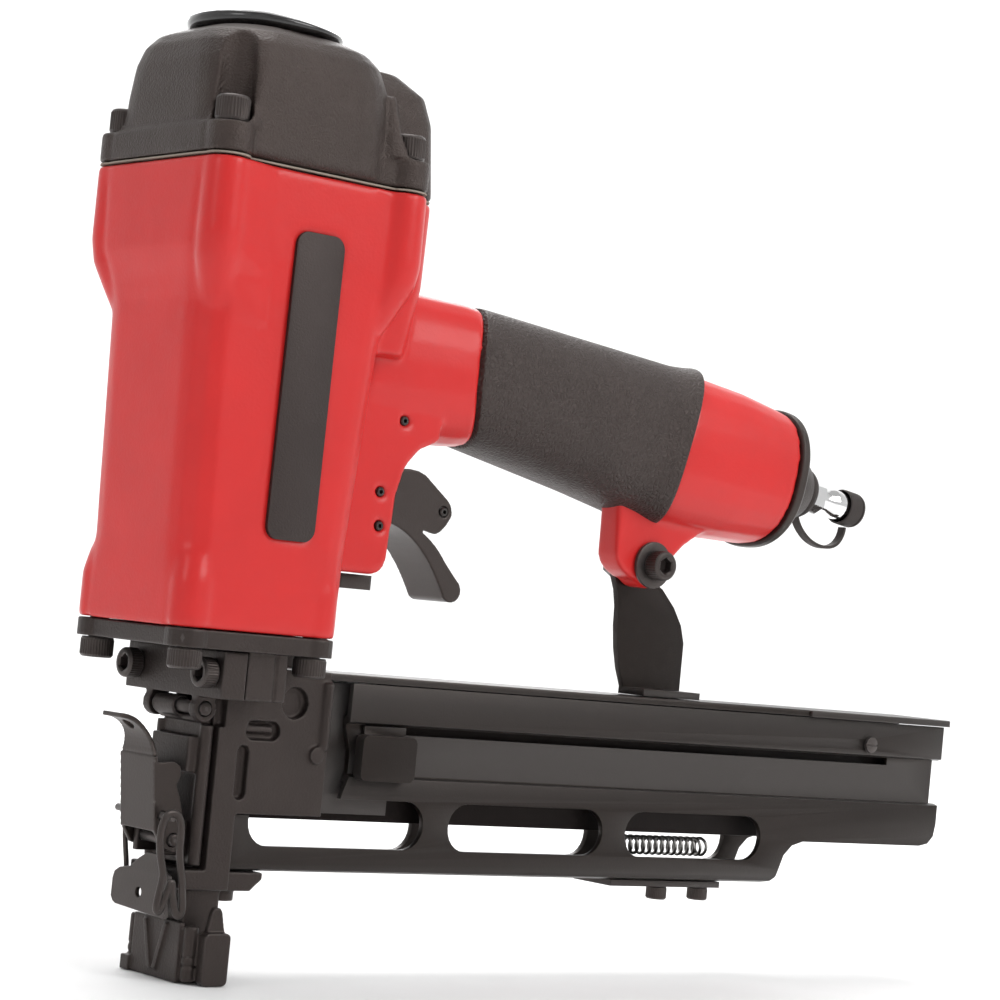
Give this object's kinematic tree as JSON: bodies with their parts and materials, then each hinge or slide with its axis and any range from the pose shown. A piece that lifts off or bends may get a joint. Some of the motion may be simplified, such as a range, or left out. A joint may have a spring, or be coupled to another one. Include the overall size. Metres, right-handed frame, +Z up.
{
  "type": "flooring nailer",
  "caption": "Air-driven flooring nailer: upright driver body, angled grip with air plug, safety foot, latched nose door and a long straight magazine with a spring-fed pusher.",
  "frame": {"origin": "middle of the front wall's underside on the safety foot, the edge that meets the floor", "axes": "+Z up along the driver, +X from the nose towards the magazine's tail, -Y the side of the pusher knob"},
  "size_m": [0.3523, 0.0706, 0.2842],
  "materials": {
    "redPaint": "semi-gloss red enamel",
    "blackCasting": "satin black coating on a casting",
    "blackSteel": "black phosphate and oil",
    "blackPlastic": "matt moulded",
    "glossBlack": "gloss moulded",
    "gripRubber": "grained black-brown rubber",
    "sealRubber": "smooth black rubber",
    "paleGasket": "pale fibre gasket",
    "brightSteel": "bright ground steel",
    "chrome": "plated",
    "aluminium": "machined",
    "bumperRubber": "moulded urethane",
    "inlay": "dark satin plate"
  },
  "bodies": {
    "frame": {"main_housing": "redPaint", "badge_inlay": "inlay", "cylinder_sleeve": "aluminium", "piston_bumper": "bumperRubber", "head_valve_spring": "brightSteel", "cylinder_cap": "blackPlastic", "cap_gasket": "paleGasket", "cap_screw_1": "blackSteel", "cap_screw_2": "blackSteel", "cap_screw_3": "blackSteel", "cap_screw_4": "blackSteel", "deflector_screw": "blackSteel", "grip_sleeve": "gripRubber", "handle_end_cap": "blackCasting", "air_plug": "chrome", "cap_tether": "sealRubber", "trigger_valve_body": "blackPlastic", "valve_retaining_pin": "brightSteel", "trigger_pivot_pin": "brightSteel", "rod_guide_pin": "brightSteel", "safety_rod_guide": "blackPlastic", "nose_casting": "blackCasting", "flange_screw_1": "blackSteel", "flange_screw_2": "blackSteel", "flange_screw_3": "blackSteel", "flange_screw_4": "blackSteel", "front_plate": "blackCasting", "front_plate_screw_near": "blackSteel", "front_plate_screw_far": "blackSteel", "guide_body": "blackCasting", "door_hinge_pin": "blackSteel", "safety_spring": "brightSteel", "magazine_channel": "blackSteel", "magazine_core_rail": "blackSteel", "magazine_top_cover": "blackSteel", "magazine_end_pin": "blackSteel", "spring_anchor_plate": "blackSteel", "anchor_screw_1": "blackSteel", "anchor_screw_2": "blackSteel", "pusher_spring": "brightSteel", "rear_bracket": "blackSteel", "bracket_washer": "blackSteel", "bracket_screw": "blackSteel", "bracket_nut": "blackSteel"},
    "deflector": {"exhaust_deflector": "glossBlack"},
    "driver": {"piston": "aluminium", "driver_blade": "brightSteel"},
    "head_valve": {"head_valve": "blackPlastic"},
    "trigger": {"trigger": "blackPlastic", "contact_lever_pin": "brightSteel"},
    "contact_lever": {"contact_lever": "brightSteel"},
    "valve_stem": {"valve_stem": "brightSteel"},
    "safety": {"safety_foot": "blackCasting", "safety_arm": "blackSteel"},
    "door": {"front_door": "blackCasting", "latch_pivot_pin": "blackSteel"},
    "latch": {"latch_lever": "blackSteel"},
    "bail": {"latch_bail": "blackSteel"},
    "pusher": {"pusher": "blackSteel"},
    "dust_cap": {"dust_cap": "sealRubber"}
  },
  "joints": [
    {"name": "deflector_turn", "type": "hinge", "parent": "frame", "child": "deflector", "pos_m": [0.0058, 0, 0.2846], "axis": [0, 0, 1], "continuous": true},
    {"name": "driver_stroke", "type": "slide", "parent": "frame", "child": "driver", "axis": [0, 0, 1], "range_m": [-0.0844, 0], "stiffness_N_per_m": 30, "springref_m": 0.05},
    {"name": "head_valve_lift", "type": "slide", "parent": "frame", "child": "head_valve", "axis": [0, 0, 1], "range_m": [0, 0.004], "stiffness_N_per_m": 1500, "springref_m": -0.004, "deforming": ["head_valve_spring"]},
    {"name": "trigger_pull", "type": "hinge", "parent": "frame", "child": "trigger", "pos_m": [0.0548, 0, 0.1494], "axis": [0, -1, 0], "range_deg": [0, 8], "stiffness_Nm_per_rad": 0.6, "springref_deg": -14.32},
    {"name": "contact_lever_lift", "type": "hinge", "parent": "trigger", "child": "contact_lever", "pos_m": [0.084, 0, 0.1459], "axis": [0, 1, 0], "range_deg": [0, 3], "stiffness_Nm_per_rad": 0.05, "springref_deg": -14.32},
    {"name": "valve_stem_lift", "type": "slide", "parent": "frame", "child": "valve_stem", "axis": [0, 0, 1], "range_m": [0, 0.002], "stiffness_N_per_m": 600, "springref_m": -0.002},
    {"name": "safety_travel", "type": "slide", "parent": "frame", "child": "safety", "axis": [0, 0, 1], "range_m": [0, 0.009], "stiffness_N_per_m": 900, "springref_m": -0.012, "deforming": ["safety_spring"]},
    {"name": "door_swing", "type": "hinge", "parent": "frame", "child": "door", "pos_m": [-0.0007, 0, 0.08], "axis": [0, 1, 0], "range_deg": [0, 40]},
    {"name": "latch_swing", "type": "hinge", "parent": "door", "child": "latch", "pos_m": [-0.0042, 0, 0.041], "axis": [0, -1, 0], "range_deg": [0, 35]},
    {"name": "bail_swing", "type": "hinge", "parent": "latch", "child": "bail", "pos_m": [-0.0088, 0, 0.048], "axis": [0, -1, 0], "range_deg": [-35, 0]},
    {"name": "pusher_travel", "type": "slide", "parent": "frame", "child": "pusher", "axis": [1, 0, 0], "range_m": [0, 0.2], "stiffness_N_per_m": 15, "springref_m": -0.4},
    {"name": "dust_cap_pull", "type": "slide", "parent": "frame", "child": "dust_cap", "axis": [0.9912, 0, -0.1327], "range_m": [0, 0.01]}
  ],
  "couplings": [
    {"joint": "bail_swing", "follows": "latch_swing", "ratio": -1}
  ]
}
